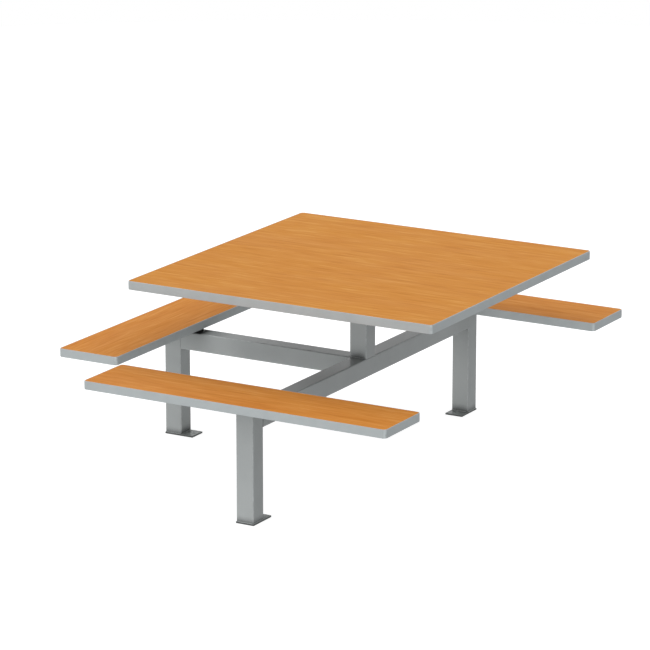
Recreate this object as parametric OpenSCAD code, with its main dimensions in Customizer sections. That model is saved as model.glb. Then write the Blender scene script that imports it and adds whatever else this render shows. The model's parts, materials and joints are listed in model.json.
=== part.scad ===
// Square table with three attached benches on a welded frame of square steel tube.
// Lengths are millimetres and +Z is up. The floor is z = 0, and the origin lies on it at the
// centre of the whole footprint. The front bench is on the -Y side, the back bench on the +Y side
// and the left bench on the -X side. The +X side has no bench, so a wheelchair can pull in there.

/* [Table top] */
// Side of the square table top, over its edge band
top_side = 1225; // [1100:1:1500]
// Height of the table top's upper face above the floor
top_height = 744; // [700:1:900]
// Full thickness of the table top
top_thick = 31.5; // [26:0.5:45]

/* [Benches] */
// Height of the benches' upper face above the floor
seat_height = 453; // [400:1:520]
// Length of each bench, over its edge band
bench_length = 1207; // [800:1:1330]
// Width of each bench, over its edge band
bench_width = 248; // [215:1:320]
// Full thickness of each bench
bench_thick = 31; // [26:0.5:45]
// Gap in plan between the table top's edge and a bench's inner edge
bench_gap = 55; // [40:1:120]

/* [Boards and edge band] */
// Thickness of the wood-grain laminate on the upper faces
laminate_t = 1.2; // [0.6:0.1:2]
// Thickness of the backing sheet on the lower faces
backer_t = 0.8; // [0.5:0.1:1.5]
// Radius of a board's vertical corners, at the outside of the edge band
corner_r = 14; // [6:1:60]
// Thickness of the edge band outside the core
band_t = 3; // [2.5:0.1:4]
// Rounding of the edge band's upper and lower outer edges
band_round = 1.2; // [0.5:0.1:2]
// Thickness of the edge band's barb
barb_t = 2.4; // [1.6:0.1:4]
// Depth that the barb reaches into the core
barb_depth = 9; // [5:0.5:11]
// Clearance round the barb in its groove
barb_clear = 0.15; // [0.05:0.05:0.4]

/* [Tube frame] */
// Width of the square tube of the legs, beams and post
tube_w = 69; // [55:1:90]
// Outer corner radius of the tube
tube_r = 4.5; // [4.5:0.5:10]
// Wall thickness of the tube
tube_wall = 3; // [2:0.5:4]
// Leg length of every weld bead
weld_leg = 3; // [2:0.5:4]

/* [Bench supports] */
// Height of the riser bar between a beam end and the bench plate
riser_t = 9.5; // [8:0.1:30]
// Length of the riser bar past its leg's inner face
riser_reach = 60; // [30:1:120]
// Thickness of the bench plate
bench_plate_t = 6.4; // [3:0.1:8]
// Width of the bench plate, across the bench
bench_plate_w = 190; // [150:1:200]
// Length of the bench plate, along the bench
bench_plate_l = 600; // [400:1:750]
// Distance from a bench plate's edges to its screws
bench_screw_edge = 20; // [12:1:30]
// Distance from a riser's flank to a bench plate's nearest screws
bench_screw_start = 66; // [30:1:90]
// Number of screws along each side of a bench plate, on either side of the riser
bench_screw_count = 2; // [2:1:4]

/* [Table supports] */
// Width of the channel arms under the table top
arm_w = 40; // [30:1:50]
// Height of the channel arms at the post
arm_h = 25; // [18:1:40]
// Height of the channel arms at their tips
arm_tip_h = 10; // [8:1:17]
// Length of the sloped stretch at each arm's tip
arm_taper = 90; // [40:5:150]
// Wall thickness of the channel arms
arm_wall = 3; // [2:0.5:5]
// Length of each arm, from the post's face
arm_length = 445; // [250:5:500]
// Distance from the post's face to an arm's first screw
arm_screw_start = 70; // [40:5:120]
// Distance from an arm's tip to its last screw
arm_screw_end = 30; // [15:1:60]
// Number of screws in each arm
arm_screw_count = 3; // [2:1:5]

/* [Foot plates] */
// Thickness of the foot plates
foot_t = 6.35; // [5:0.05:12]
// Distance that a foot plate stands out past its leg on the outer side and the two flanks
foot_lip = 1.5; // [0.5:0.5:20]
// Distance that a foot plate reaches past its leg towards the table's middle
foot_reach = 49; // [40:1:120]
// Diameter of the floor anchor hole
anchor_d = 13; // [8:0.5:18]
// Distance from the anchor hole's centre to the foot plate's inner edge
anchor_edge = 14; // [12:0.5:20]

/* [Screws] */
// Diameter of the screws' shanks
screw_d = 5; // [4:0.1:6]
// Length of the screws under their heads
screw_length = 24; // [15:1:24]
// Length of the screws' points
screw_point = 5; // [3:0.5:8]
// Diameter of the screws' heads
screw_head_d = 11; // [9:0.5:14]
// Height of the screws' heads
screw_head_h = 3.6; // [2.5:0.1:5]
// Width of the cross recess in the screws' heads
recess_w = 1.2; // [0.8:0.1:1.5]
// Span of the cross recess
recess_span = 5.6; // [4:0.1:7]
// Depth of the cross recess
recess_depth = 1.6; // [1:0.1:2]
// Clearance on the radius round a shank, in steel and in the board
screw_clear = 0.5; // [0.2:0.1:1]

/* [Hidden] */
$fn = 64;
half_top = top_side/2;
bench_inner = half_top + bench_gap;
bench_centre = bench_inner + bench_width/2;
bench_outer = bench_inner + bench_width;

// The post stands off the footprint's centre, because only the left side has a bench.
post_x = (bench_outer - half_top)/2;

half_tube = tube_w/2;
leg_inner = bench_centre - half_tube;
leg_outer = bench_centre + half_tube;
flat_w = tube_w - 2*tube_r;

top_under = top_height - top_thick;
seat_under = seat_height - bench_thick;
plate_under = seat_under - bench_plate_t;
beam_top = plate_under - riser_t;
beam_axis = beam_top - half_tube;

riser_inner = leg_inner - riser_reach;
foot_inner = leg_inner - foot_reach;
anchor_at = foot_inner + anchor_edge;

arm_screw_step = (arm_length - arm_screw_start - arm_screw_end)/(arm_screw_count - 1);
bench_screw_across = bench_plate_w/2 - bench_screw_edge;
bench_screw_first = half_tube + bench_screw_start;
bench_screw_last = bench_plate_l/2 - bench_screw_edge;
bench_screw_step = (bench_screw_last - bench_screw_first)/(bench_screw_count - 1);

// A cut runs this far past the face it opens.
cut_past = 1;
// The barb and its groove keep at least this radius inside a board's corner.
groove_corner_r = 0.5;
// A pilot hole runs this far past its screw's point.
pilot_past = 1;

// Angles about the post that turn what is drawn on the front side to another side.
FRONT = 0;
LEFT = -90;
BACK = 180;
RIGHT = 90;

// Where an arm's screws stand, counted from the post's axis.
arm_screws = [for (i = [0:arm_screw_count - 1]) half_tube + arm_screw_start + i*arm_screw_step];

// Where a bench's screws stand, from the bench's centre: along it, then across it.
bench_screws = [
    for (end = [-1, 1])
        for (edge = [-1, 1])
            for (i = [0:bench_screw_count - 1])
                [end*(bench_screw_first + i*bench_screw_step), edge*bench_screw_across]
];

// Rounded rectangle of the given size, centred on the origin.
module rounded_rectangle(size_x, size_y, radius) {
    square([size_x - 2*radius, size_y], center = true);
    square([size_x, size_y - 2*radius], center = true);
    for (x = [-1, 1])
        for (y = [-1, 1])
            translate([x*(size_x/2 - radius), y*(size_y/2 - radius)])
                circle(r = radius);
}

// Flat board with rounded vertical corners, its lower face at z = 0.
module board(size_x, size_y, thick, radius) {
    linear_extrude(height = thick)
        rounded_rectangle(size_x, size_y, radius);
}

// Flat ring inside a rounded rectangle's edge: it reaches in by depth and out by past.
module edge_ring(size_x, size_y, radius, depth, past, thick) {
    linear_extrude(height = thick)
        difference() {
            rounded_rectangle(size_x + 2*past, size_y + 2*past, radius + past);
            rounded_rectangle(size_x - 2*depth, size_y - 2*depth, max(radius - depth, groove_corner_r));
        }
}

// Cross-section of the band outside the core: x runs outwards from the core, y runs up.
module band_section(thick) {
    square([band_t - band_round, thick]);
    translate([0, band_round])
        square([band_t, thick - 2*band_round]);
    intersection() {
        square([band_t, thick]);
        for (y = [band_round, thick - band_round])
            translate([band_t - band_round, y])
                circle(r = band_round);
    }
}

// Edge band of a board that measures size_x by size_y over the band, with its barb.
module edge_band(size_x, size_y, thick) {
    core_r = corner_r - band_t;
    for (turn = [0, 1, 2, 3]) {
        along = turn % 2 == 0 ? size_y : size_x;
        across = turn % 2 == 0 ? size_x : size_y;
        rotate([0, 0, turn*90]) {
            translate([across/2 - band_t, along/2 - corner_r, 0])
                rotate([90, 0, 0])
                    linear_extrude(height = along - 2*corner_r)
                        band_section(thick);
            translate([across/2 - corner_r, along/2 - corner_r, 0])
                rotate_extrude(angle = 90)
                    translate([core_r, 0])
                        band_section(thick);
        }
    }
    translate([0, 0, thick/2 - barb_t/2])
        edge_ring(size_x - 2*band_t, size_y - 2*band_t, core_r, barb_depth, 0, barb_t);
}

// Core of a board: the groove for the barb is cut all round, at half the board's thickness.
module core(size_x, size_y, thick) {
    core_x = size_x - 2*band_t;
    core_y = size_y - 2*band_t;
    core_r = corner_r - band_t;
    difference() {
        translate([0, 0, backer_t])
            board(core_x, core_y, thick - backer_t - laminate_t, core_r);
        translate([0, 0, thick/2 - barb_t/2 - barb_clear])
            edge_ring(core_x, core_y, core_r, barb_depth + barb_clear, cut_past, barb_t + 2*barb_clear);
    }
}

// One of the two sheets that face a core, between the band's edges.
module sheet(size_x, size_y, thick) {
    board(size_x - 2*band_t, size_y - 2*band_t, thick, corner_r - band_t);
}

// Square tube along +Z, from z = 0.
module tube(length) {
    linear_extrude(height = length)
        difference() {
            rounded_rectangle(tube_w, tube_w, tube_r);
            rounded_rectangle(tube_w - 2*tube_wall, tube_w - 2*tube_wall, tube_r - tube_wall);
        }
}

// Fillet weld along +X, centred on x = 0: it fills the corner of a floor and a wall at y = 0.
module weld_bead(length, leg = weld_leg) {
    translate([-length/2, 0, 0])
        rotate([90, 0, 90])
            linear_extrude(height = length)
                polygon([[0, 0], [leg, 0], [0, leg]]);
}

// Pan-head screw pointing up, with the underside of its head at z = 0.
module screw() {
    cylinder(d = screw_d, h = screw_length - screw_point);
    translate([0, 0, screw_length - screw_point])
        cylinder(d1 = screw_d, d2 = screw_d/5, h = screw_point);
    difference() {
        translate([0, 0, -screw_head_h])
            intersection() {
                cylinder(d = screw_head_d, h = screw_head_h);
                translate([0, 0, screw_head_d])
                    sphere(r = screw_head_d);
            }
        for (turn = [0, 90])
            rotate([0, 0, turn])
                translate([-recess_span/2, -recess_w/2, -screw_head_h - cut_past])
                    cube([recess_span, recess_w, recess_depth + cut_past]);
    }
}

// Hole for a screw that stands at z = 0, through the given depth.
module screw_hole(depth) {
    translate([0, 0, -cut_past])
        cylinder(r = screw_d/2 + screw_clear, h = depth + cut_past);
}

// Places the children about the post's axis, turned from the front to the given side.
module on_side(side) {
    translate([post_x, 0, 0])
        rotate([0, 0, side])
            children();
}

// Places the children at every screw in the four arms.
module at_arm_screws() {
    for (side = [FRONT, LEFT, BACK, RIGHT])
        on_side(side)
            for (y = arm_screws)
                translate([0, -y, 0])
                    children();
}

// Places the children at every screw of one bench.
module at_bench_screws(side) {
    on_side(side)
        for (p = bench_screws)
            translate([p.x, p.y - bench_centre, 0])
                children();
}

// Table top
module top_laminate() {
    color("#cf904c")
        translate([post_x, 0, top_height - laminate_t])
            sheet(top_side, top_side, laminate_t);
}

module top_core() {
    color("#c9a878")
        difference() {
            translate([post_x, 0, top_under])
                core(top_side, top_side, top_thick);
            translate([0, 0, top_under - arm_wall])
                at_arm_screws()
                    screw_hole(screw_length + pilot_past);
        }
}

module top_backer() {
    color("#4a4643")
        difference() {
            translate([post_x, 0, top_under])
                sheet(top_side, top_side, backer_t);
            translate([0, 0, top_under - arm_wall])
                at_arm_screws()
                    screw_hole(screw_length);
        }
}

module top_edge_band() {
    color("#a5a9a8")
        translate([post_x, 0, top_under])
            edge_band(top_side, top_side, top_thick);
}

// Benches: each is drawn as the front one and turned to its side.
module bench_laminate(side) {
    color("#c7864a")
        on_side(side)
            translate([0, -bench_centre, seat_height - laminate_t])
                sheet(bench_length, bench_width, laminate_t);
}

module bench_core(side) {
    color("#c9a878")
        difference() {
            on_side(side)
                translate([0, -bench_centre, seat_under])
                    core(bench_length, bench_width, bench_thick);
            translate([0, 0, plate_under])
                at_bench_screws(side)
                    screw_hole(screw_length + pilot_past);
        }
}

module bench_backer(side) {
    color("#4a4643")
        difference() {
            on_side(side)
                translate([0, -bench_centre, seat_under])
                    sheet(bench_length, bench_width, backer_t);
            translate([0, 0, plate_under])
                at_bench_screws(side)
                    screw_hole(screw_length);
        }
}

module bench_edge_band(side) {
    color("#a5a9a8")
        on_side(side)
            translate([0, -bench_centre, seat_under])
                edge_band(bench_length, bench_width, bench_thick);
}

// Tube frame
module main_beam() {
    color("#8f9492")
        translate([post_x, leg_inner, beam_axis])
            rotate([90, 0, 0])
                tube(2*leg_inner);
}

module side_beam() {
    color("#8f9492")
        translate([post_x - leg_inner, 0, beam_axis])
            rotate([0, 90, 0])
                tube(leg_inner - half_tube);
}

module centre_post() {
    color("#8f9492")
        translate([post_x, 0, beam_top])
            tube(top_under - beam_top);
}

module leg(side) {
    color("#a8acaa")
        on_side(side)
            translate([0, -bench_centre, foot_t])
                tube(beam_top - foot_t);
}

module foot_plate(side) {
    plate_w = tube_w + 2*foot_lip;
    color("#6d7170")
        on_side(side)
            difference() {
                translate([-plate_w/2, -leg_outer - foot_lip, 0])
                    cube([plate_w, leg_outer + foot_lip - foot_inner, foot_t]);
                translate([0, -anchor_at, -cut_past])
                    cylinder(d = anchor_d, h = foot_t + 2*cut_past);
            }
}

// Bench supports
module bench_riser(side) {
    color("#5f6462")
        on_side(side)
            translate([-half_tube, -leg_outer, beam_top])
                cube([tube_w, leg_outer - riser_inner, riser_t]);
}

module bench_plate(side) {
    color("#6d7170")
        difference() {
            on_side(side)
                translate([-bench_plate_l/2, -bench_centre - bench_plate_w/2, plate_under])
                    cube([bench_plate_l, bench_plate_w, bench_plate_t]);
            translate([0, 0, plate_under])
                at_bench_screws(side)
                    screw_hole(bench_plate_t + cut_past);
        }
}

// Channel arm under the table top, open downwards, with its web against the top's lower face.
module arm(side) {
    inside_w = arm_w - 2*arm_wall;
    tip_y = -half_tube - arm_length;
    color("#7d8280")
        on_side(side)
            difference() {
                translate([-arm_w/2, tip_y, top_under - arm_h])
                    cube([arm_w, arm_length, arm_h]);
                translate([-inside_w/2, tip_y - cut_past, top_under - arm_h - cut_past])
                    cube([inside_w, arm_length + 2*cut_past, arm_h - arm_wall + cut_past]);
                arm_tip_cut();
                for (y = arm_screws)
                    translate([0, -y, top_under - arm_wall])
                        screw_hole(arm_wall + cut_past);
            }
}

// Wedge that slopes the lower edges of a channel arm up towards its tip.
module arm_tip_cut() {
    tip_y = -half_tube - arm_length;
    fall = (arm_h - arm_tip_h)/arm_taper;
    translate([-arm_w/2 - cut_past, 0, top_under])
        rotate([90, 0, 90])
            linear_extrude(height = arm_w + 2*cut_past)
                polygon([
                    [tip_y - cut_past, -arm_h - cut_past],
                    [tip_y - cut_past, -arm_tip_h + fall*cut_past],
                    [tip_y + arm_taper, -arm_h],
                    [tip_y + arm_taper, -arm_h - cut_past]
                ]);
}

// Screws
module top_screws() {
    color("#b9bcbd")
        translate([0, 0, top_under - arm_wall])
            at_arm_screws()
                screw();
}

module bench_screw_group(side) {
    color("#b9bcbd")
        translate([0, 0, plate_under])
            at_bench_screws(side)
                screw();
}

// Weld beads
module foot_welds() {
    // The plate's narrow lip holds only a small bead. Turn 0 is the long side, towards the middle.
    lip_leg = min(weld_leg, foot_lip);
    color("#9a9e9d")
        for (side = [FRONT, LEFT, BACK])
            on_side(side)
                translate([0, -bench_centre, foot_t])
                    for (turn = [0, 90, 180, 270])
                        rotate([0, 0, turn])
                            translate([0, half_tube, 0])
                                weld_bead(flat_w, turn == 0 ? weld_leg : lip_leg);
}

module beam_welds() {
    color("#9a9e9d") {
        for (side = [FRONT, LEFT, BACK])
            on_side(side)
                translate([0, -leg_inner, beam_top - tube_w])
                    mirror([0, 0, 1])
                        weld_bead(flat_w);
        for (turn = [0, 180])
            translate([post_x - half_tube, 0, beam_axis])
                rotate([turn, 0, 0])
                    translate([0, half_tube, 0])
                        rotate([0, -90, 0])
                            weld_bead(flat_w);
    }
}

module post_welds() {
    color("#9a9e9d")
        for (side = [FRONT, BACK])
            on_side(side)
                translate([0, half_tube, beam_top])
                    weld_bead(flat_w);
}

module riser_welds() {
    color("#9a9e9d")
        for (side = [FRONT, LEFT, BACK])
            on_side(side)
                translate([0, -riser_inner, beam_top])
                    weld_bead(flat_w);
}

module bench_plate_welds() {
    bead_outer = min(leg_outer, bench_centre + bench_plate_w/2);
    bead_inner = max(riser_inner, bench_centre - bench_plate_w/2);
    color("#9a9e9d")
        for (side = [FRONT, LEFT, BACK])
            on_side(side)
                translate([0, -(bead_outer + bead_inner)/2, plate_under])
                    mirror([0, 0, 1])
                        for (turn = [90, 270])
                            rotate([0, 0, turn])
                                translate([0, half_tube, 0])
                                    weld_bead(bead_outer - bead_inner);
}

module arm_welds() {
    color("#9a9e9d")
        for (side = [FRONT, LEFT, BACK, RIGHT])
            on_side(side)
                for (flank = [-1, 1])
                    translate([flank*arm_w/2, -half_tube, top_under - arm_h])
                        linear_extrude(height = arm_h)
                            polygon([[0, 0], [flank*weld_leg, 0], [0, -weld_leg]]);
}

top_laminate();
top_core();
top_backer();
top_edge_band();
bench_laminate(FRONT);  // front_bench_laminate
bench_core(FRONT);  // front_bench_core
bench_backer(FRONT);  // front_bench_backer
bench_edge_band(FRONT);  // front_bench_edge_band
bench_laminate(LEFT);  // left_bench_laminate
bench_core(LEFT);  // left_bench_core
bench_backer(LEFT);  // left_bench_backer
bench_edge_band(LEFT);  // left_bench_edge_band
bench_laminate(BACK);  // back_bench_laminate
bench_core(BACK);  // back_bench_core
bench_backer(BACK);  // back_bench_backer
bench_edge_band(BACK);  // back_bench_edge_band
main_beam();
side_beam();
centre_post();
leg(FRONT);  // front_leg
leg(LEFT);  // left_leg
leg(BACK);  // back_leg
foot_plate(FRONT);  // front_foot_plate
foot_plate(LEFT);  // left_foot_plate
foot_plate(BACK);  // back_foot_plate
bench_riser(FRONT);  // front_bench_riser
bench_riser(LEFT);  // left_bench_riser
bench_riser(BACK);  // back_bench_riser
bench_plate(FRONT);  // front_bench_plate
bench_plate(LEFT);  // left_bench_plate
bench_plate(BACK);  // back_bench_plate
arm(FRONT);  // front_arm
arm(LEFT);  // left_arm
arm(BACK);  // back_arm
arm(RIGHT);  // right_arm
top_screws();
bench_screw_group(FRONT);  // front_bench_screws
bench_screw_group(LEFT);  // left_bench_screws
bench_screw_group(BACK);  // back_bench_screws
foot_welds();
beam_welds();
post_welds();
riser_welds();
bench_plate_welds();
arm_welds();
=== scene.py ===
"""Square table with three attached benches: its visible pieces, finishes and studio.

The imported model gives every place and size. Lengths are metres and +Z is up. The front bench is
on the -Y side, the back bench on the +Y side and the left bench on the -X side.
"""

import json
import math

import bmesh
import bpy
from mathutils import Matrix, Vector
from mathutils.geometry import tessellate_polygon

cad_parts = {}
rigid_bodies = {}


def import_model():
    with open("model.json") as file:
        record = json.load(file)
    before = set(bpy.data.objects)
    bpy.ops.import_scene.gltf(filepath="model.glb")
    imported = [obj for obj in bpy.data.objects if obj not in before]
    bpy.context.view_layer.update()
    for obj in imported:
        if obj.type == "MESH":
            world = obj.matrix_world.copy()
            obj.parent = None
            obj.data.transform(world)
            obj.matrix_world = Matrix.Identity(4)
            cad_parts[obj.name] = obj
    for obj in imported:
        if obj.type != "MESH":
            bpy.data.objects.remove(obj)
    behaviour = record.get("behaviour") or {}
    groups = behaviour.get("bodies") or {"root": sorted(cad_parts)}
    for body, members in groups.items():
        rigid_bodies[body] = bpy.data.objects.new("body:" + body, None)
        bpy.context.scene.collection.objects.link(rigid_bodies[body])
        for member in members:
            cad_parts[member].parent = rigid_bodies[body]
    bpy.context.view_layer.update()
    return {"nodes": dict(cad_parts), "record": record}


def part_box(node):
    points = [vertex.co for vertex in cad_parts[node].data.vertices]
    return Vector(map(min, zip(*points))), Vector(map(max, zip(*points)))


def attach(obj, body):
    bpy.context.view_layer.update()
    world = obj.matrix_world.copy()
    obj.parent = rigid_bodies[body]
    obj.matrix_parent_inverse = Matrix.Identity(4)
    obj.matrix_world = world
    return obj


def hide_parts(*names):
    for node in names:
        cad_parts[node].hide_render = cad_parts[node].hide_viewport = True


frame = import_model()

bl_info = {
    "name": "Square Table With Attached Benches",
    "version": (1, 0, 0),
    "blender": (4, 5, 0),
    "location": "3D View > Sidebar > Table",
    "description": "Builds the table's visible pieces round the packed frame, and the studio",
    "category": "Object",
}

MM = 0.001

# The table top and the benches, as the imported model's names begin.
BOARDS = ("top", "front_bench", "left_bench", "back_bench")

# Sides of the table that have a leg and a bench, and the turn about the post in degrees that takes
# the front side there.
BENCHES = {"front": 0, "left": -90, "back": 180}
SIDES = {**BENCHES, "right": 90}

# Straight steps in a quarter circle, on the corners of outlines and on eased edges.
CORNER_STEPS = 8
EASE_STEPS = 3

# What the "edge" layer holds in the middle of an edge that gets the painted highlight. The wall
#  of a hole holds 1, so it is painted lighter in most places and gets none of the painted shade.
HIGHLIT_EDGE = 0.6

# How much lighter than the paint or vinyl the painted highlight on an edge is.
LIGHTER = 1.35

# Edges that turn by more than this many degrees are shaded sharp.
SHARP_TURN = 50


def linear(hex_colour):
    """Turns an sRGB hex colour into the three linear values that Blender works with."""
    values = [int(hex_colour[i:i + 2], 16)/255 for i in (1, 3, 5)]
    return tuple(v/12.92 if v <= 0.04045 else ((v + 0.055)/1.055)**2.4 for v in values)


def colour_setting(name, description, hex_colour):
    """A colour that the user can change."""
    return bpy.props.FloatVectorProperty(
        name=name, description=description, default=linear(hex_colour), size=3,
        min=0, max=1, subtype="COLOR")


def length_setting(name, description, millimetres):
    """A length that the user can change, kept in metres."""
    return bpy.props.FloatProperty(
        name=name, description=description, default=millimetres*MM, min=0, precision=5,
        unit="LENGTH", subtype="DISTANCE")


class BoardSettings(bpy.types.PropertyGroup):
    """Sizes and colours of the table top and the benches."""

    wood: colour_setting("Wood", "Main colour of the printed wood grain", "#d58d3d")
    wood_light: colour_setting("Wood, light", "Light streaks of the grain", "#e0a153")
    wood_dark: colour_setting("Wood, dark", "Dark streaks and pores of the grain", "#c77b2d")
    bench_tone: bpy.props.FloatVectorProperty(
        name="Bench tone", description="Red, green and blue of the benches' wood, each as a share "
        "of the table top's",
        default=(1.04, 0.98, 1.04), size=3, min=0.5, max=2)
    streak_width: length_setting("Streak width", "Usual width of a streak of the grain", 20)
    streak_length: length_setting("Streak length", "Usual length of a streak of the grain", 210)
    band: colour_setting("Edge band", "Colour of the vinyl edge band", "#babfbf")
    backing: colour_setting("Backing sheet", "Colour of the sheet under the boards", "#4a4643")
    band_round: length_setting("Edge band rounding", "Rounding of the band's two edges", 1.2)
    band_crown: length_setting("Edge band crown", "Height of the band's slight outward curve", 0.3)
    laminate_ease: length_setting("Laminate edge", "Eased edge of the laminate sheet", 0.25)


class FrameSettings(bpy.types.PropertyGroup):
    """Sizes and colours of the steel frame."""

    paint: colour_setting("Paint", "Colour of the powder coat on the tubes", "#acafae")
    plate_paint: colour_setting("Plate paint", "Colour of the powder coat on the plates", "#9ca09e")
    tube_corner: length_setting("Tube corner", "Outer corner radius of the square tube", 4.5)
    tube_wall: length_setting("Tube wall", "Wall thickness of the square tube", 3)
    tube_ease: length_setting("Tube end easing", "Eased edge of the cut tube ends", 0.3)
    plate_ease: length_setting("Plate easing", "Eased edge of the plates and bars", 0.7)
    channel_wall: length_setting("Channel wall", "Wall thickness of the channel arms", 3)
    channel_bend: length_setting("Channel bend", "Outer bend radius of the channel arms", 5)
    channel_taper: length_setting("Channel taper", "Length of the sloped tip of the arms", 90)
    channel_tip: length_setting("Channel tip", "Height of the channel arms at their tips", 10)
    bead_ripple: length_setting("Weld ripple", "Distance between the ripples of a weld bead", 2.6)
    screw_hole: length_setting("Screw hole", "Radius of the screw holes in the plates", 3)


class StudioSettings(bpy.types.PropertyGroup):
    """Camera and light."""

    azimuth: bpy.props.FloatProperty(
        name="Azimuth", description="Turn of the camera about the table, from the front",
        default=math.radians(29.984), subtype="ANGLE")
    elevation: bpy.props.FloatProperty(
        name="Elevation", description="Height of the camera above the horizon, as an angle",
        default=math.radians(14.995), subtype="ANGLE")
    distance: length_setting("Distance", "From the camera to the table top, along its view", 13039)
    aim_right: length_setting("Aim right", "How far the view is centred right of the top", -136.1)
    aim_down: length_setting("Aim down", "How far the view is centred below the top", 214.2)
    lens: bpy.props.FloatProperty(
        name="Lens", description="Focal length in millimetres, for a 36 mm sensor",
        default=200.98, min=10)
    dome: bpy.props.FloatProperty(
        name="Dome light", description="Strength of the even light from all round",
        default=0.49, min=0)
    key: bpy.props.FloatProperty(
        name="Key light", description="Strength of the soft high light from the front left",
        default=0.35, min=0)
    overhead: bpy.props.FloatProperty(
        name="Overhead light", description="Strength of the soft light from above",
        default=1.24, min=0)
    bounce: bpy.props.FloatProperty(
        name="Bounce", description="Power of the light that a card on the floor throws up",
        default=10.5, min=0)
    fill: bpy.props.FloatProperty(
        name="Fill light", description="Strength of the low, soft light from the front",
        default=0.69, min=0)


def fill_inputs(tree, node, values):
    """Gives a node's inputs their values. An output socket given as a value is linked."""
    for name, value in values.items():
        if isinstance(value, bpy.types.NodeSocket):
            tree.links.new(value, node.inputs[name])
        else:
            node.inputs[name].default_value = value


def add(tree, kind, values=None, **settings):
    """Adds a node. Settings are its own properties, and values go to its inputs."""
    node = tree.nodes.new(kind)
    for name, setting in settings.items():
        setattr(node, name, setting)
    fill_inputs(tree, node, values or {})
    return node


def empty_tree(holder):
    """The emptied node tree of a material or a world."""
    holder.use_nodes = True
    holder.node_tree.nodes.clear()
    return holder.node_tree


def new_material(name):
    """A node material, its tree, its principled shader and an output that gives the place on
    the object in metres."""
    material = bpy.data.materials.new(name)
    tree = empty_tree(material)
    surface = add(tree, "ShaderNodeBsdfPrincipled")
    add(tree, "ShaderNodeOutputMaterial", {"Surface": surface.outputs["BSDF"]})
    return material, tree, surface, add(tree, "ShaderNodeTexCoord").outputs["Object"]


def opaque(colour):
    """The colour with full alpha."""
    return (*colour, 1.0)


def ramp(tree, factor, *stops):
    """A colour ramp on the factor. Each stop is a place from 0 to 1 and a colour."""
    node = add(tree, "ShaderNodeValToRGB", {"Fac": factor})
    elements = node.color_ramp.elements
    while len(elements) < len(stops):
        elements.new(0.5)
    for element, (place, colour) in zip(elements, stops):
        element.position = place
        element.color = opaque(colour)
    return node.outputs["Color"]


def grey(value):
    """A grey as three equal values."""
    return (value, value, value)


def noise(tree, place, size, detail):
    """Noise of about that size. A size of three values stretches it along the axes."""
    if isinstance(size, tuple):
        place = add(tree, "ShaderNodeMapping", {
            "Vector": place, "Scale": tuple(1/length for length in size)}).outputs["Vector"]
        size = 1.0
    return add(tree, "ShaderNodeTexNoise", {
        "Vector": place, "Scale": 1/size, "Detail": detail}).outputs["Fac"]


def spread(tree, value, low, high, start=0.3, end=0.7):
    """Maps start to low and end to high. Most of a noise lies between 0.3 and 0.7."""
    return add(tree, "ShaderNodeMapRange", {
        "Value": value, "From Min": start, "From Max": end, "To Min": low,
        "To Max": high}).outputs["Result"]


def bumps(tree, height, strength, distance):
    """The normal of a surface with small bumps."""
    return add(tree, "ShaderNodeBump", {
        "Height": height, "Strength": strength, "Distance": distance}).outputs["Normal"]


def laminate_material(name, along, tone_shares, settings):
    """High-pressure laminate with a printed beech grain, pressed against a suede plate. The eye
    sees soft long streaks, fine short pores and a dull, even sheen."""
    material, tree, surface, place = new_material(name)
    turn = 0 if along == "X" else math.pi/2
    turned = add(tree, "ShaderNodeMapping", {"Vector": place, "Rotation": (0, 0, turn)})

    def grain(width, length, detail, roughness=0.5):
        stretched = add(tree, "ShaderNodeMapping", {
            "Vector": turned.outputs["Vector"], "Scale": (1/length, 1/width, 1/width)})
        return add(tree, "ShaderNodeTexNoise", {
            "Vector": stretched.outputs["Vector"], "Scale": 1.0, "Detail": detail,
            "Roughness": roughness, "Distortion": 0.15}).outputs["Fac"]

    wood, light, dark = (
        [value*share for value, share in zip(colour, tone_shares)]
        for colour in (settings.wood, settings.wood_light, settings.wood_dark))
    width, length = settings.streak_width, settings.streak_length
    broad = grain(6*width, 3*length, 1)
    streaks = grain(width, length, 3, 0.6)
    fine = grain(width/4, length/2, 2)
    # Beech pores are under 0.1 mm wide, so they are drawn 0.8 mm wide here to show at all.
    pores = grain(0.8*MM, 14*MM, 2)

    wide_tone = add(tree, "ShaderNodeMix", {"Factor": 0.8, "A": broad, "B": streaks})
    tone = add(tree, "ShaderNodeMix", {
        "Factor": 0.4, "A": wide_tone.outputs["Result"], "B": fine})
    colour = ramp(
        tree, tone.outputs["Result"], (0.35, dark), (0.48, wood), (0.52, wood), (0.65, light))
    pore_mask = ramp(tree, pores, (0.62, grey(0)), (0.74, grey(1)))
    pore_share = add(tree, "ShaderNodeMath", {0: pore_mask, 1: 0.3}, operation="MULTIPLY")
    finished = add(tree, "ShaderNodeMix", {
        "Factor": pore_share.outputs[0], "A": colour, "B": opaque(dark)},
        data_type="RGBA")

    suede = noise(tree, place, 0.6*MM, 2)
    fill_inputs(tree, surface, {
        "Base Color": finished.outputs[2], "Roughness": spread(tree, broad, 0.42, 0.5),
        "Normal": bumps(tree, suede, 0.12, 0.05*MM), "IOR": 1.5, "Specular IOR Level": 0.02})
    return material


def painted_edge_highlight(tree, place, colour, highlight_colour):
    """The colour, with a lighter one painted in spots along edges as a highlight. Also returns how
    near an edge each point is."""
    edge = add(tree, "ShaderNodeAttribute", attribute_name="edge").outputs["Fac"]
    highlight_spots = add(tree, "ShaderNodeMath", {0: edge, 1: noise(tree, place, 12*MM, 4)},
               operation="MULTIPLY")
    share = spread(tree, highlight_spots.outputs[0], 0.0, 0.8, 0.3*HIGHLIT_EDGE, 0.6*HIGHLIT_EDGE)
    highlit = add(tree, "ShaderNodeMix", {"Factor": share, "A": colour, "B": opaque(highlight_colour)},
               data_type="RGBA")
    return highlit.outputs[2], edge


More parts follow.
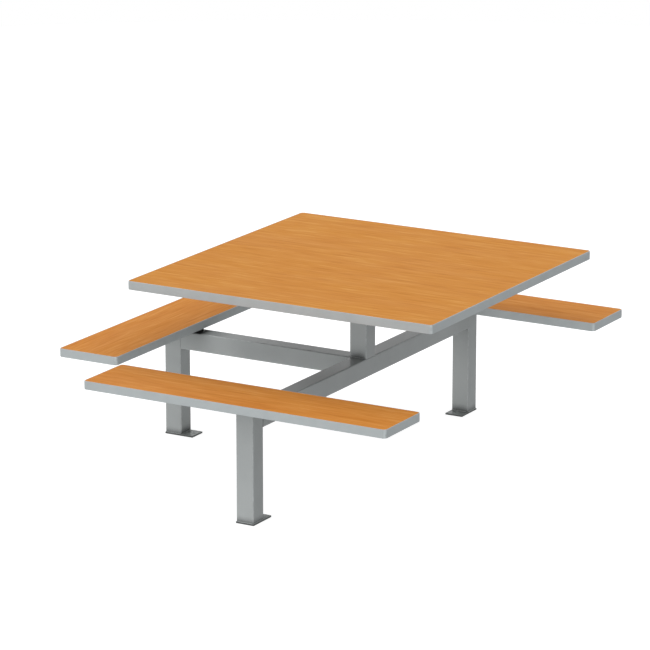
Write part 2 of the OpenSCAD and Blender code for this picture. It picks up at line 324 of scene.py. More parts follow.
def vinyl_material(settings):
    """Extruded flexible vinyl. The eye sees a soft satin grey with faint lines along the run and
    a little grime in them, with a painted highlight in spots along the rounded corners."""
    material, tree, surface, place = new_material("Extruded grey vinyl")
    # The die leaves fine lines along the band, which all lie level.
    lines = noise(tree, place, (180*MM, 180*MM, 1.5*MM), 2)
    clouds = noise(tree, place, 60*MM, 3)
    base = Vector(settings.band)
    colour = ramp(tree, clouds, (0.3, base*0.96), (0.7, base*1.03))
    # Painted highlight in spots along the rounded corners.
    highlit_vinyl, _ = painted_edge_highlight(tree, place, colour, base*LIGHTER)
    fill_inputs(tree, surface, {
        "Base Color": highlit_vinyl, "Roughness": spread(tree, lines, 0.38, 0.48),
        "Normal": bumps(tree, lines, 0.15, 0.05*MM), "IOR": 1.53, "Specular IOR Level": 0.3})
    return material


def powder_coat_material(name, colour):
    """Mild steel under a silver powder coat. The eye sees a satin metallic grey with a slight
    orange peel and fine flakes, with a painted highlight in spots along the edges and painted shade
    where pieces meet."""
    material, tree, surface, place = new_material(name)
    peel = noise(tree, place, 3*MM, 1)
    # Real flakes are about 0.05 mm, so they are drawn 0.7 mm wide to show from close by.
    flakes = add(tree, "ShaderNodeTexVoronoi", {"Vector": place, "Scale": 1/(0.7*MM)})
    clouds = noise(tree, place, 90*MM, 3)
    base = Vector(colour)
    flake_tone = add(tree, "ShaderNodeSeparateColor", {"Color": flakes.outputs["Color"]})
    tone = add(tree, "ShaderNodeMix", {
        "Factor": 0.35, "A": clouds, "B": flake_tone.outputs["Red"]})
    painted = ramp(tree, tone.outputs["Result"], (0.25, base*0.95), (0.75, base*1.05))
    # Painted highlight in spots along the edges.
    highlit, edge = painted_edge_highlight(tree, place, painted, base*LIGHTER)
    # Painted shade: the paint is darkened where pieces meet and close each other in, as ambient
    #     occlusion does. More is darkened above a joint than under it, since the openness is taken
    #     about a normal that leans down.
    normal = add(tree, "ShaderNodeNewGeometry").outputs["Normal"]
    leaning = add(tree, "ShaderNodeVectorMath", {0: normal, 1: (0, 0, -0.3)}, operation="ADD")
    about = add(tree, "ShaderNodeVectorMath", {0: leaning.outputs[0]}, operation="NORMALIZE")
    open_share = add(tree, "ShaderNodeAmbientOcclusion", {
        "Distance": 40*MM, "Normal": about.outputs[0]}, samples=8)
    painted_shade = ramp(tree, open_share.outputs["AO"], (0.35, grey(0.2)), (0.8, grey(1)))
    # Hole walls get none of the painted shade.
    shade_share = spread(tree, edge, 1.0, 0.0, HIGHLIT_EDGE, 1.0)
    finished = add(tree, "ShaderNodeMix", {"Factor": shade_share, "A": highlit, "B": painted_shade},
                   data_type="RGBA", blend_type="MULTIPLY")
    fill_inputs(tree, surface, {
        "Base Color": finished.outputs[2], "Roughness": spread(tree, clouds, 0.21, 0.27),
        "Normal": bumps(tree, peel, 0.1, 0.08*MM), "Metallic": 0.06,
        "Specular IOR Level": 0.3})
    return material


def zinc_material():
    """Steel screw with bright zinc plate. The eye sees a cool, uneven metal shine."""
    material, tree, surface, place = new_material("Bright zinc plate")
    spangle = noise(tree, place, 2*MM, 3)
    colour = ramp(tree, spangle, (0.3, linear("#a9adb0")), (0.7, linear("#c8cbcd")))
    fill_inputs(tree, surface, {
        "Base Color": colour, "Roughness": spread(tree, spangle, 0.22, 0.38, 0, 1),
        "Metallic": 1.0})
    return material


def backing_material(settings):
    """Phenolic backing sheet, sanded on its back. The eye sees a dull dark brown grey with
    fine sanding marks."""
    material, tree, surface, place = new_material("Sanded phenolic backing")
    sanded = noise(tree, place, (1.2*MM, 40*MM, 5*MM), 3)
    base = Vector(settings.backing)
    fill_inputs(tree, surface, {
        "Base Color": ramp(tree, sanded, (0.3, base*0.85), (0.7, base*1.2)),
        "Roughness": spread(tree, sanded, 0.55, 0.75, 0, 1)})
    return material


def particleboard_material():
    """Raw particleboard. The eye sees pale chips of many tones in a darker glue."""
    material, tree, surface, place = new_material("Raw particleboard")
    chips = add(tree, "ShaderNodeTexVoronoi", {"Vector": place, "Scale": 1/(4*MM)})
    tone = add(tree, "ShaderNodeSeparateColor", {"Color": chips.outputs["Color"]})
    colour = ramp(
        tree, tone.outputs["Red"], (0.0, linear("#a98658")), (0.5, linear("#c9a878")),
        (1.0, linear("#dcc297")))
    fill_inputs(tree, surface, {
        "Base Color": colour, "Normal": bumps(tree, chips.outputs["Distance"], 0.3, 0.4*MM),
        "Roughness": 0.85})
    return material


def dress(obj, material):
    """Gives the whole object one material."""
    obj.data.materials.clear()
    obj.data.materials.append(material)


def place_piece(name, mesh, material, slot, *nodes):
    """Turns a bmesh into a smooth-shaded piece that stands for the CAD nodes."""
    bmesh.ops.recalc_face_normals(mesh, faces=mesh.faces)
    data = bpy.data.meshes.new(name)
    mesh.to_mesh(data)
    mesh.free()
    data.shade_smooth()
    data.set_sharp_from_angle(angle=math.radians(SHARP_TURN))
    obj = bpy.data.objects.new(name, data)
    bpy.context.scene.collection.objects.link(obj)
    obj.modifiers.new("Flat faces stay flat", "WEIGHTED_NORMAL").keep_sharp = True
    dress(obj, material)
    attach(obj, "root")
    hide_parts(*nodes)


def rounded_rectangle(size_x, size_y, radius):
    """Outline of a rounded rectangle about the origin: given how far it is drawn in, it returns
    its points and, for each, how near the middle of a corner it is."""
    def outline(inset):
        points = []
        for turn, (side_x, side_y) in enumerate(((1, 1), (-1, 1), (-1, -1), (1, -1))):
            centre = Vector((side_x*(size_x/2 - radius), side_y*(size_y/2 - radius)))
            for i in range(CORNER_STEPS + 1):
                share = i/CORNER_STEPS
                angle = (turn + share)*math.pi/2
                reach = Vector((math.cos(angle), math.sin(angle)))*(radius - inset)
                points.append((centre + reach, HIGHLIT_EDGE*math.sin(share*math.pi)))
        return points
    return outline


def round_hole(x, y, radius):
    """Outline of a round hole, in the form that rounded_rectangle returns."""
    steps = 4*CORNER_STEPS

    def outline(inset):
        angles = [2*math.pi*i/steps for i in range(steps)]
        return [(Vector((x, y)) + Vector((math.cos(a), math.sin(a)))*(radius + inset), 1)
                for a in angles]
    return outline


def eased_levels(height, ease):
    """Heights of a flat solid's rings about its middle, from low to high, each with how far it is
    drawn in and how near it is to the middle of an eased edge."""
    levels = []
    for i in range(EASE_STEPS + 1):
        share = i/EASE_STEPS
        angle = share*math.pi/2
        levels.append((ease*(1 - math.cos(angle)), ease*(1 - math.sin(angle)),
                       HIGHLIT_EDGE*math.sin(share*math.pi)))
    upper = [(height/2 - rise, inset, near) for rise, inset, near in reversed(levels)]
    return [(rise - height/2, inset, near) for rise, inset, near in levels] + upper


def flat_solid(outlines, height, ease, matrix):
    """Bmesh of a flat-faced solid with eased edges, with the matrix's origin in its middle. The
    first outline is its outer edge and the others are holes through it."""
    mesh = bmesh.new()
    edge = mesh.verts.layers.float.new("edge")
    levels = eased_levels(height, ease)
    loops = []
    for outline in outlines:
        rings = []
        for level, inset, near_edge in levels:
            ring = []
            for point, near_corner in outline(inset):
                vert = mesh.verts.new(matrix @ Vector((*point, level)))
                vert[edge] = max(near_edge, near_corner)
                ring.append(vert)
            rings.append(ring)
        for below, above in zip(rings, rings[1:]):
            for i in range(len(below)):
                j = (i + 1) % len(below)
                mesh.faces.new((below[i], below[j], above[j], above[i]))
        loops.append(rings)
    for end in (0, -1):
        rings = [rings[end] for rings in loops]
        if len(rings) == 1:
            mesh.faces.new(rings[0])
            continue
        verts = [vert for ring in rings for vert in ring]
        flat = [[matrix.inverted() @ vert.co for vert in ring] for ring in rings]
        for triangle in tessellate_polygon(flat):
            mesh.faces.new([verts[i] for i in triangle])
    return mesh


def islands(node):
    """The separate solids of a CAD node: for each, its lowest corner, its highest corner and the
    mean of its vertices."""
    mesh = bmesh.new()
    mesh.from_mesh(frame["nodes"][node].data)
    bmesh.ops.remove_doubles(mesh, verts=mesh.verts, dist=0.001*MM)
    left = set(mesh.verts)
    found = []
    while left:
        todo = [left.pop()]
        island = []
        while todo:
            vert = todo.pop()
            island.append(vert.co.copy())
            for joined in vert.link_edges:
                other = joined.other_vert(vert)
                if other in left:
                    left.remove(other)
                    todo.append(other)
        low = Vector([min(p[i] for p in island) for i in range(3)])
        high = Vector([max(p[i] for p in island) for i in range(3)])
        found.append((low, high, sum(island, Vector())/len(island)))
    mesh.free()
    found.sort(key=lambda solid: tuple(round(value, 4) for value in solid[2]))
    return found


def centre_and_size(node):
    """Centre and size of a CAD node's box."""
    low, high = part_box(node)
    return (low + high)/2, high - low


class SQUARETABLE_OT_laminates(bpy.types.Operator):
    """Lay the wood-grain laminate sheets on the table top and the benches"""

    bl_idname = "square_table.laminates"
    bl_label = "Laminate Sheets"

    def execute(self, context):
        settings = context.scene.square_table_boards
        tone = settings.bench_tone
        on_top = laminate_material("Beech laminate of the top", "X", (1, 1, 1), settings)
        along_x = laminate_material("Beech laminate, bench along X", "X", tone, settings)
        along_y = laminate_material("Beech laminate, bench along Y", "Y", tone, settings)
        for board, material in zip(BOARDS, (on_top, along_x, along_y, along_x)):
            node = board + "_laminate"
            centre, size = centre_and_size(node)
            sheet = flat_solid(
                [rounded_rectangle(size.x, size.y, sheet_corner(board))], size.z,
                settings.laminate_ease, Matrix.Translation(centre))
            place_piece(node + "_sheet", sheet, material, "laminate", node)
        return {"FINISHED"}


def sheet_corner(board):
    """Corner radius of a board's sheets, read from the CAD sheet: its straight front edge ends
    one radius short of the sheet's side."""
    low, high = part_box(board + "_laminate")
    front = [v.co.x for v in frame["nodes"][board + "_laminate"].data.vertices
             if v.co.y < low.y + 0.01*MM]
    return high.x - max(front)


class SQUARETABLE_OT_edge_bands(bpy.types.Operator):
    """Press the vinyl edge bands round the boards"""

    bl_idname = "square_table.edge_bands"
    bl_label = "Edge Bands"

    def execute(self, context):
        settings = context.scene.square_table_boards
        vinyl = vinyl_material(settings)
        # The side where each band's ends meet: 0 is +Y, 1 is -X and 3 is +X.
        for board, seam_side in zip(BOARDS, (1, 1, 0, 3)):
            node = board + "_edge_band"
            band = swept_band(board, seam_side, settings)
            place_piece(node + "_strip", band, vinyl, "edge_band", node)
        return {"FINISHED"}


def band_profile(thick, height, settings):
    """Cross-section of an edge band as points (outwards, upwards) from the core's lower edge:
    round edges, a slightly crowned face, a fine groove beside the laminate, and a barb with
    teeth that grips the core."""
    rounding, crown = settings.band_round, settings.band_crown
    groove = 0.15*MM
    barb_half, barb_depth, tooth = 0.95*MM, 8.6*MM, 0.25*MM
    points = [(0, 0), (groove, 0)]
    for i in range(EASE_STEPS + 2):
        angle = i/(EASE_STEPS + 1)*math.pi/2
        points.append((thick - crown - rounding*(1 - math.sin(angle)),
                       rounding*(1 - math.cos(angle))))
    face_steps = 6
    face = height - 2*rounding
    for i in range(1, face_steps):
        share = i/face_steps
        bulge = crown*(1 - (2*share - 1)**2)
        points.append((thick - crown + bulge, rounding + share*face))
    for i in range(EASE_STEPS + 2):
        angle = (1 - i/(EASE_STEPS + 1))*math.pi/2
        points.append((thick - crown - rounding*(1 - math.sin(angle)),
                       height - rounding*(1 - math.cos(angle))))
    points += [(groove, height), (0, height - groove), (0, height/2 + barb_half)]
    teeth = 3
    step = barb_depth/(teeth + 1)
    for i in range(teeth):
        points.append((-step*(i + 0.6), height/2 + barb_half))
        points.append((-step*(i + 0.8), height/2 + barb_half + tooth))
        points.append((-step*(i + 1), height/2 + barb_half))
    points += [(-barb_depth, height/2 + barb_half/2), (-barb_depth, height/2 - barb_half/2)]
    for i in reversed(range(teeth)):
        points.append((-step*(i + 1), height/2 - barb_half))
        points.append((-step*(i + 0.8), height/2 - barb_half - tooth))
        points.append((-step*(i + 0.6), height/2 - barb_half))
    points.append((0, height/2 - barb_half))
    return points


def swept_band(board, seam_side, settings):
    """Bmesh of an edge band: its profile swept round the core, with a fine butt seam in the
    middle of one side."""
    centre, size = centre_and_size(board + "_edge_band")
    sheet = centre_and_size(board + "_laminate")[1]
    thick = (size.x - sheet.x)/2
    radius = sheet_corner(board)
    profile = band_profile(thick, size.z, settings)
    seam_half, seam_depth = 0.25*MM, 0.35*MM
    # The barb is notched in the corners, where its full depth would not bend, and has its full
    # depth again a little way along each side.
    notched, notch_end = radius - 0.4*MM, 8*MM
    # Each station has its place, its normal, the seam's depth there, how deep the barb may reach
    # and how near it is to the middle of a corner.
    stations = []
    for turn, (side_x, side_y) in enumerate(((1, 1), (-1, 1), (-1, -1), (1, -1))):
        corner = Vector((side_x*(sheet.x/2 - radius), side_y*(sheet.y/2 - radius)))
        for i in range(CORNER_STEPS + 1):
            angle = (turn + i/CORNER_STEPS)*math.pi/2
            normal = Vector((math.cos(angle), math.sin(angle)))
            stations.append((corner + normal*radius, normal, 0, notched,
                             HIGHLIT_EDGE*math.sin(i/CORNER_STEPS*math.pi)))
        along = Vector((-normal.y, normal.x))
        side = abs(normal.x)*sheet.y/2 + abs(normal.y)*sheet.x/2 - radius - notch_end
        reach = abs(normal.x)*sheet.x/2 + abs(normal.y)*sheet.y/2
        offsets = [(-side, 0), (side, 0)]
        if turn == seam_side:
            offsets[1:1] = [(-seam_half, 0), (0, seam_depth), (seam_half, 0)]
        for offset, depth in offsets:
            stations.append((normal*reach + along*offset, normal, depth, size.x, 0))
    mesh = bmesh.new()
    edge = mesh.verts.layers.float.new("edge")
    rings = []
    for point, normal, depth, deepest, near_corner in stations:
        ring = []
        for out, up in profile:
            drawn = max(min(out, thick - depth) if out > 0 else out, -deepest)
            place = point + normal*drawn
            ring.append(mesh.verts.new((
                centre.x + place.x, centre.y + place.y, centre.z - size.z/2 + up)))
            ring[-1][edge] = near_corner
        rings.append(ring)
    for k, ring in enumerate(rings):
        after = rings[(k + 1) % len(rings)]
        for i in range(len(ring)):
            j = (i + 1) % len(ring)
            mesh.faces.new((ring[i], ring[j], after[j], after[i]))
    return mesh


class SQUARETABLE_OT_boards(bpy.types.Operator):
    """Finish the particleboard cores and the backing sheets under the boards"""

    bl_idname = "square_table.boards"
    bl_label = "Cores and Backing Sheets"

    def execute(self, context):
        chipboard = particleboard_material()
        backing = backing_material(context.scene.square_table_boards)
        for board in BOARDS:
            dress(frame["nodes"][board + "_core"], chipboard)
            dress(frame["nodes"][board + "_backer"], backing)
        return {"FINISHED"}


def tube_paint(settings):
    """Powder coat of the tubes and the weld beads, made once."""
    name = "Silver powder coat on tube"
    return bpy.data.materials.get(name) or powder_coat_material(name, settings.paint)


def plate_paint(settings):
    """Powder coat of the plates, bars and channels, made once."""
    name = "Silver powder coat on plate"
    return bpy.data.materials.get(name) or powder_coat_material(name, settings.plate_paint)


class SQUARETABLE_OT_tubes(bpy.types.Operator):
    """Cut and paint the square tubes of the legs, beams and post"""

    bl_idname = "square_table.tubes"
    bl_label = "Tube Frame"

    def execute(self, context):
        settings = context.scene.square_table_frame
        paint = tube_paint(settings)
        wall = settings.tube_wall
        lies_along = {"main_beam": 1, "side_beam": 0}
        for node in ("main_beam", "side_beam", "centre_post", "front_leg", "left_leg", "back_leg"):
            centre, size = centre_and_size(node)
            axis = lies_along.get(node, 2)
            width = size[(axis + 1) % 3]
            turn = {0: Matrix.Rotation(math.pi/2, 4, "Y"), 1: Matrix.Rotation(math.pi/2, 4, "X"),
                    2: Matrix.Identity(4)}[axis]
            outer = rounded_rectangle(width, width, settings.tube_corner)
            inner_corner = settings.tube_corner - wall
            inner = inward(rounded_rectangle(width - 2*wall, width - 2*wall, inner_corner))
            tube = flat_solid(
                [outer, inner], size[axis], settings.tube_ease,
                Matrix.Translation(centre) @ turn)
            place_piece(node + "_tube", tube, paint, "painted_tube", node)
        return {"FINISHED"}


def inward(outline):
    """The same outline as the edge of a hole, which easing opens out."""
    return lambda inset: outline(-inset)


class SQUARETABLE_OT_plates(bpy.types.Operator):
    """Cut and paint the foot plates, the risers and the bench plates"""

    bl_idname = "square_table.plates"
    bl_label = "Plates and Risers"

    def execute(self, context):
        settings = context.scene.square_table_frame
        paint = plate_paint(settings)
        ease = settings.plate_ease
        anchors = {m["name"]: m for m in frame["record"]["mounts"]}
        for side in BENCHES:
            anchor = anchors[side + "_anchor"]
            x, y, _ = anchor["pos_m"]
            holes = {side + "_foot_plate": [(x, y, anchor["dims"]["r_mm"]*MM)]}
            screws = islands(side + "_bench_screws")
            holes[side + "_bench_plate"] = [
                ((low.x + high.x)/2, (low.y + high.y)/2, settings.screw_hole)
                for low, high, _ in screws]
            holes[side + "_bench_riser"] = []
            for node, places in holes.items():
                centre, size = centre_and_size(node)
                outlines = [rounded_rectangle(size.x, size.y, 1.5*ease)]
                outlines += [round_hole(x - centre.x, y - centre.y, r) for x, y, r in places]
                plate = flat_solid(outlines, size.z, ease, Matrix.Translation(centre))
                place_piece(node + "_steel", plate, paint, "painted_plate", node)
        return {"FINISHED"}


class SQUARETABLE_OT_arms(bpy.types.Operator):
    """Bend and paint the channel arms under the table top"""

    bl_idname = "square_table.arms"
    bl_label = "Channel Arms"

    def execute(self, context):
        settings = context.scene.square_table_frame
        paint = plate_paint(settings)
        post = centre_and_size("centre_post")[0]
        for side, turn in SIDES.items():
            node = side + "_arm"
            centre, size = centre_and_size(node)
            along = Vector((centre.x - post.x, centre.y - post.y))
            length, width = max(size.x, size.y), min(size.x, size.y)
            top = centre.z + size.z/2
            matrix = Matrix.Translation((post.x, post.y, top)) @ Matrix.Rotation(
                math.radians(turn), 4, "Z")
            channel = channel_solid(
                width, size.z, along.length - length/2, along.length + length/2, settings, matrix)
            place_piece(node + "_channel", channel, paint, "painted_plate", node)
        return {"FINISHED"}


def channel_solid(width, height, start, end, settings, matrix):
    """Bmesh of a pressed channel that opens downwards and runs along -Y from start to end, with
    its web's face at z = 0 and its flanges sloping up at the tip."""
    wall, bend = settings.channel_wall, settings.channel_bend
    stations = [(start, height), (end - settings.channel_taper, height),
                (end, settings.channel_tip)]
    mesh = bmesh.new()
    rings = []
    for y, deep in stations:
        pairs = [((-width/2, -deep), (-width/2 + wall, -deep))]
        for side in (-1, 1):
            for i in range(CORNER_STEPS + 1):
                angle = (side*(CORNER_STEPS - i)/CORNER_STEPS if side < 0
                         else i/CORNER_STEPS)*math.pi/2
                centre = Vector((side*(width/2 - bend), -bend))
                out = Vector((math.sin(angle), math.cos(angle)))
                pairs.append((centre + out*bend, centre + out*(bend - wall)))
        pairs.append(((width/2, -deep), (width/2 - wall, -deep)))
        rings.append([[mesh.verts.new(matrix @ Vector((p[0], -y, p[1]))) for p in pair]
                      for pair in pairs])
    for near, far in zip(rings, rings[1:]):
        for i in range(len(near) - 1):
            mesh.faces.new((near[i][0], near[i + 1][0], far[i + 1][0], far[i][0]))
            mesh.faces.new((near[i][1], near[i + 1][1], far[i + 1][1], far[i][1]))
        for i in (0, -1):
            mesh.faces.new((near[i][0], near[i][1], far[i][1], far[i][0]))
    for ring in (rings[0], rings[-1]):
        for i in range(len(ring) - 1):
            mesh.faces.new((ring[i][0], ring[i + 1][0], ring[i + 1][1], ring[i][1]))
    return mesh


class SQUARETABLE_OT_screws(bpy.types.Operator):
    """Drive the zinc-plated screws up into the boards"""

    bl_idname = "square_table.screws"
    bl_label = "Screws"

    def execute(self, context):
        zinc = zinc_material()
        screw = screw_mesh()
        for node in (board + "_screws" for board in BOARDS):
            group = bmesh.new()
            for number, (low, high, _) in enumerate(islands(node)):
                before = len(group.verts)
                group.from_mesh(screw)
                group.verts.ensure_lookup_table()
                # Each screw stopped at its own angle, a golden turn on from the last.
                place = Matrix.Translation(((low.x + high.x)/2, (low.y + high.y)/2, low.z))
                turn = Matrix.Rotation(number*math.radians(137.5), 4, "Z")
                bmesh.ops.transform(group, matrix=place @ turn, verts=group.verts[before:])
            place_piece(node + "_zinc", group, zinc, "zinc_screw", node)
        bpy.data.meshes.remove(screw)
        return {"FINISHED"}


def screw_mesh():
    """Mesh of one pan-head wood screw that points up, with its head's crown at z = 0: a cross
    recess in the head, and a thread that runs out into the point."""
    head_radius, head_height, crown = 5.5*MM, 3.6*MM, 1.4*MM
    core, thread, pitch = 1.75*MM, 0.7*MM, 2.2*MM
    plain, length, point = 4*MM, 24*MM, 5*MM
    around, steps = 24, 12
    mesh = bmesh.new()

    def ring(radius_at, z):
        angles = [2*math.pi*i/around for i in range(around)]
        return [mesh.verts.new((radius_at(a)*math.cos(a), radius_at(a)*math.sin(a), z))
                for a in angles]

    rings = []
    for i in range(1, steps):
        share = i/steps
        angle = share*math.pi/2
        radius = head_radius*math.sin(angle)**0.6
        rings.append(ring(lambda a, r=radius: r, crown*(1 - math.cos(angle))))
    rings.append(ring(lambda a: head_radius, crown*1.1))
    rings.append(ring(lambda a: head_radius, head_height - 0.2*MM))
    rings.append(ring(lambda a: head_radius - 0.2*MM, head_height))
    rings.append(ring(lambda a: core + thread, head_height))
    rings.append(ring(lambda a: core + thread, head_height + plain))
    turns = int((length - plain)/pitch*steps)
    for i in range(1, turns + 1):
        height = plain + i*pitch/steps
        fade = min(1, (length - height)/point)

        def radius_at(a, h=height, f=fade):
            phase = (h/pitch - a/(2*math.pi)) % 1
            crest = max(0, 1 - abs(phase - 0.5)*4)
            return max(core*f, 0.15*MM) + thread*crest*min(1, f + 0.2)*min(1, i/steps)
        rings.append(ring(radius_at, head_height + height))
    for below, above in zip(rings, rings[1:]):
        for i in range(around):
            j = (i + 1) % around
            mesh.faces.new((below[i], below[j], above[j], above[i]))
    mesh.faces.new(rings[0])
    mesh.faces.new(rings[-1])
    bmesh.ops.recalc_face_normals(mesh, faces=mesh.faces)
    solid = mesh_object("Screw blank", mesh)
    # Two crossed blades that narrow inwards cut the recess. They start outside the head.
    blade_width, blade_thick, blade_height, outside = 5.6*MM, 1.3*MM, 3.6*MM, 1*MM
    for turn in (0, 90):
        blade = bmesh.new()
        bmesh.ops.create_cube(blade, size=1)
        for vert in blade.verts:
            taper = 0.45 if vert.co.z > 0 else 1
            vert.co = (vert.co.x*blade_width*taper,
                       vert.co.y*blade_thick*(0.6 + 0.4*taper),
                       (vert.co.z + 0.5)*blade_height - outside)
        bmesh.ops.rotate(blade, verts=blade.verts, matrix=Matrix.Rotation(
            math.radians(turn), 3, "Z"))
        cutter = mesh_object("Recess blade", blade)
        cut = solid.modifiers.new("Recess", "BOOLEAN")
        cut.operation = "DIFFERENCE"
        cut.solver = "EXACT"
        cut.object = cutter
    view = bpy.context.evaluated_depsgraph_get()
    cut_mesh = bpy.data.meshes.new_from_object(solid.evaluated_get(view))
    for obj in list(bpy.data.objects):
        if obj.name.startswith(("Screw blank", "Recess blade")):
            bpy.data.meshes.remove(obj.data)
    return cut_mesh


def mesh_object(name, mesh):
    """A plain object made from a bmesh, for use while building."""
    data = bpy.data.meshes.new(name)
    mesh.to_mesh(data)
    mesh.free()
    obj = bpy.data.objects.new(name, data)
    bpy.context.scene.collection.objects.link(obj)
    return obj


class SQUARETABLE_OT_welds(bpy.types.Operator):
    """Run the weld beads where the frame's pieces meet"""

    bl_idname = "square_table.welds"
    bl_label = "Weld Beads"

    def execute(self, context):
        settings = context.scene.square_table_frame
        paint = tube_paint(settings)
        for node in ("foot_welds", "beam_welds", "post_welds", "riser_welds",
                     "bench_plate_welds", "arm_welds"):
            mesh = bmesh.new()
            for low, high, mean in islands(node):
                weld_bead(mesh, low, high, mean, settings.bead_ripple)
            place_piece(node + "_beads", mesh, paint, "painted_weld", node)
        return {"FINISHED"}


def weld_bead(mesh, low, high, mean, ripple):
    """Adds a fillet bead that fills the corner that the CAD bead fills. The corner is the edge
    of the box that lies nearest the mean of the CAD bead's vertices."""
    size = high - low
    along = max(range(3), key=lambda axis: size[axis])
    across = [axis for axis in range(3) if axis != along]
    root = low.copy()
    out = [Vector(), Vector()]
    for k, axis in enumerate(across):
        inwards = mean[axis] - low[axis] < high[axis] - mean[axis]
        root[axis] = low[axis] if inwards else high[axis]
        out[k][axis] = size[axis] if inwards else -size[axis]
    length = size[along]
    direction = Vector()
    direction[along] = 1
    per_ripple, arc_steps = 6, 6
    count = max(2, round(length/ripple))
    total = count*per_ripple
    rings = []
    for i in range(total + 1):
        share = i/total
        phase = (i % per_ripple)/per_ripple
        # Each ripple swells quickly and falls off slowly, like overlapping coins.
        swell = 0.86 + 0.14*math.sin(math.pi*min(1, phase*1.6 + 0.1))
        near_end = min(share, 1 - share)*length/ripple
        swell *= math.sqrt(min(1, 0.12 + near_end))
        start = root + direction*(share*length)
        ring = [mesh.verts.new(start)]
        for j in range(arc_steps + 1):
            turn = j/arc_steps
            bulge = 1 + 0.22*math.sin(turn*math.pi)
            ring.append(mesh.verts.new(
                start + (out[0]*(1 - turn) + out[1]*turn)*bulge*swell))
        rings.append(ring)
    for before, after in zip(rings, rings[1:]):
        for j in range(len(before)):
            k = (j + 1) % len(before)
            mesh.faces.new((before[j], before[k], after[k], after[j]))
    mesh.faces.new(rings[0])
    mesh.faces.new(rings[-1])


class SQUARETABLE_OT_studio(bpy.types.Operator):
    """Set up the camera, the lights, the floor and the white background"""

    bl_idname = "square_table.studio"
    bl_label = "Studio"

    def execute(self, context):
        settings = context.scene.square_table_studio
        add_camera(context, settings)
        add_world(context, settings)
        add_sun(context, "Key", (-0.3, -1.0, 0.8), 40, settings.key)
        add_sun(context, "Overhead", (0.0, 0.0, 1.0), 90, settings.overhead)
        fill = add_sun(context, "Fill", (-0.1, -1.0, 0.07), 10, settings.fill)
        # It comes in so low that from behind it would glare on every top face.
        fill.visible_glossy = False
        add_bounce_card(context, settings)
        add_floor(context)
        context.scene.view_settings.view_transform = "Standard"
        return {"FINISHED"}


def add_camera(context, settings):
    """A long lens that looks down on the front right corner."""
    azimuth, elevation = settings.azimuth, settings.elevation
    right = Vector((math.cos(azimuth), math.sin(azimuth), 0))
    back = Vector((math.sin(azimuth)*math.cos(elevation),
                   -math.cos(azimuth)*math.cos(elevation), math.sin(elevation)))
    up = back.cross(right)
    low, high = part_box("top_laminate")
    target = Vector(((low.x + high.x)/2, (low.y + high.y)/2, high.z))
    target += right*settings.aim_right - up*settings.aim_down
    data = bpy.data.cameras.new("Camera")
    data.sensor_width = 36
    data.lens = settings.lens
    data.clip_end = 100
    camera = bpy.data.objects.new("Camera", data)
    camera.matrix_world = Matrix.Translation(target + back*settings.distance) @ Matrix(
        (right, up, back)).transposed().to_4x4()
    context.scene.collection.objects.link(camera)
    context.scene.camera = camera


def by_way_seen(tree, straight, reflected):
    """One value for what the camera sees straight, another for what it sees in gloss or through
    glass, and 0 for light that falls on matt surfaces."""
    path = add(tree, "ShaderNodeLightPath")
    indirect = add(tree, "ShaderNodeMath", {
        0: path.outputs["Is Glossy Ray"], 1: path.outputs["Is Transmission Ray"]},
        operation="MAXIMUM")
    in_gloss = add(tree, "ShaderNodeMath", {0: indirect.outputs[0], 1: reflected},
                   operation="MULTIPLY")
    both = add(tree, "ShaderNodeMath", {
        0: path.outputs["Is Camera Ray"], 1: straight, 2: in_gloss.outputs[0]},
        operation="MULTIPLY_ADD")
    return both.outputs[0]


def add_world(context, settings):
    """An even pale light from all round, which looks white."""
    world = bpy.data.worlds.new("White studio")
    tree = empty_tree(world)
    light = add(tree, "ShaderNodeBackground", {
        "Color": opaque(linear("#f7fbff")), "Strength": settings.dome})
    white = add(tree, "ShaderNodeBackground", {"Color": opaque(grey(1)), "Strength": 1.0})
    mixed = add(tree, "ShaderNodeMixShader", {
        0: by_way_seen(tree, 1, 0.7), 1: light.outputs[0], 2: white.outputs[0]})
    add(tree, "ShaderNodeOutputWorld", {"Surface": mixed.outputs[0]})
    context.scene.world = world


def add_sun(context, name, towards, spread, strength):
    """A soft far light. The spread is the angle in degrees that it fills, seen from the table."""
    data = bpy.data.lights.new(name, "SUN")
    data.energy = strength
    data.angle = math.radians(spread)
    lamp = bpy.data.objects.new(name, data)
    lamp.matrix_world = Vector(towards).to_track_quat("Z", "Y").to_matrix().to_4x4()
    context.scene.collection.objects.link(lamp)
    return lamp


def add_bounce_card(context, settings):
    """A wide soft light that lies on the floor under the table, like a white card."""
    data = bpy.data.lights.new("Bounce card", "AREA")
    data.shape = "DISK"
    data.size = 3.0
    data.energy = settings.bounce
    card = bpy.data.objects.new("Bounce card", data)
    card.matrix_world = Matrix.Translation((0, 0, 1*MM)) @ Matrix.Rotation(math.pi, 4, "X")
    card.visible_camera = False
    card.visible_glossy = False
    context.scene.collection.objects.link(card)


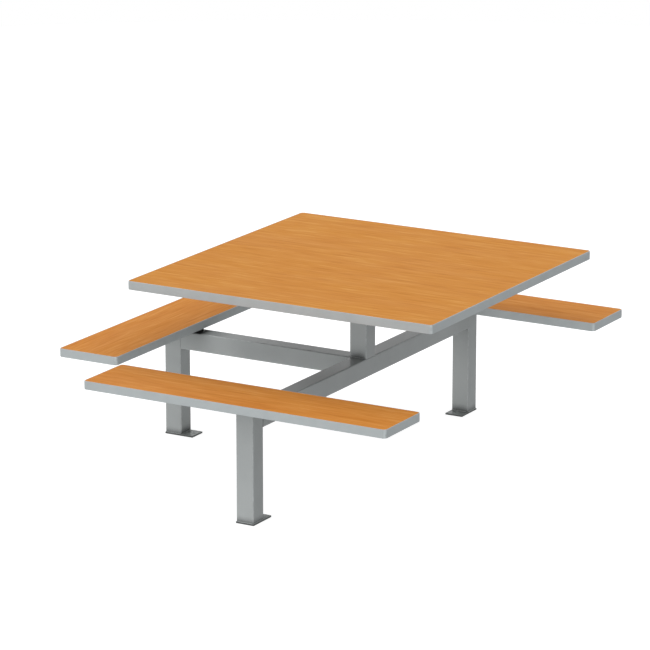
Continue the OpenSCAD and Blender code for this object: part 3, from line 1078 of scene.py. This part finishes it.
def add_floor(context):
    """A pale matt floor that looks white and keeps a faint shadow. It lies a little under the foot
    plates, so that no two faces share a plane."""
    radius, steps, under = 9.0, 96, 0.2*MM
    mesh = bmesh.new()
    ring = [mesh.verts.new((radius*math.cos(2*math.pi*i/steps),
                            radius*math.sin(2*math.pi*i/steps), -under))
            for i in range(steps)]
    mesh.faces.new(ring)
    floor = mesh_object("Floor", mesh)
    material = bpy.data.materials.new("Pale matt floor")
    tree = empty_tree(material)
    matt = add(tree, "ShaderNodeBsdfDiffuse", {"Color": opaque(grey(0.4))})
    glow = add(tree, "ShaderNodeEmission", {
        "Color": opaque(grey(1)), "Strength": by_way_seen(tree, 0.88, 0.2)})
    both = add(tree, "ShaderNodeAddShader", {0: matt.outputs[0], 1: glow.outputs[0]})
    add(tree, "ShaderNodeOutputMaterial", {"Surface": both.outputs[0]})
    dress(floor, material)


class SQUARETABLE_PT_panel(bpy.types.Panel):
    """Buttons and settings for the table"""

    bl_idname = "SQUARETABLE_PT_panel"
    bl_label = "Square Table"
    bl_space_type = "VIEW_3D"
    bl_region_type = "UI"
    bl_category = "Table"

    def draw(self, context):
        for operator in OPERATORS:
            self.layout.operator(operator.bl_idname)
        for name in SETTINGS:
            group = getattr(context.scene, name)
            box = self.layout.box()
            for prop in group.bl_rna.properties:
                if prop.identifier not in ("rna_type", "name"):
                    box.prop(group, prop.identifier)


OPERATORS = (
    SQUARETABLE_OT_laminates,
    SQUARETABLE_OT_edge_bands,
    SQUARETABLE_OT_boards,
    SQUARETABLE_OT_tubes,
    SQUARETABLE_OT_plates,
    SQUARETABLE_OT_arms,
    SQUARETABLE_OT_screws,
    SQUARETABLE_OT_welds,
    SQUARETABLE_OT_studio,
)
SETTINGS = {
    "square_table_boards": BoardSettings,
    "square_table_frame": FrameSettings,
    "square_table_studio": StudioSettings,
}


def register():
    for cls in (*SETTINGS.values(), *OPERATORS, SQUARETABLE_PT_panel):
        bpy.utils.register_class(cls)
    for name, cls in SETTINGS.items():
        setattr(bpy.types.Scene, name, bpy.props.PointerProperty(type=cls))


def unregister():
    for name in SETTINGS:
        delattr(bpy.types.Scene, name)
    for cls in reversed((*SETTINGS.values(), *OPERATORS, SQUARETABLE_PT_panel)):
        bpy.utils.unregister_class(cls)


def main():
    """Builds everything in order."""
    register()
    for operator in OPERATORS:
        group, name = operator.bl_idname.split(".")
        getattr(getattr(bpy.ops, group), name)()


if __name__ == "__main__":
    main()
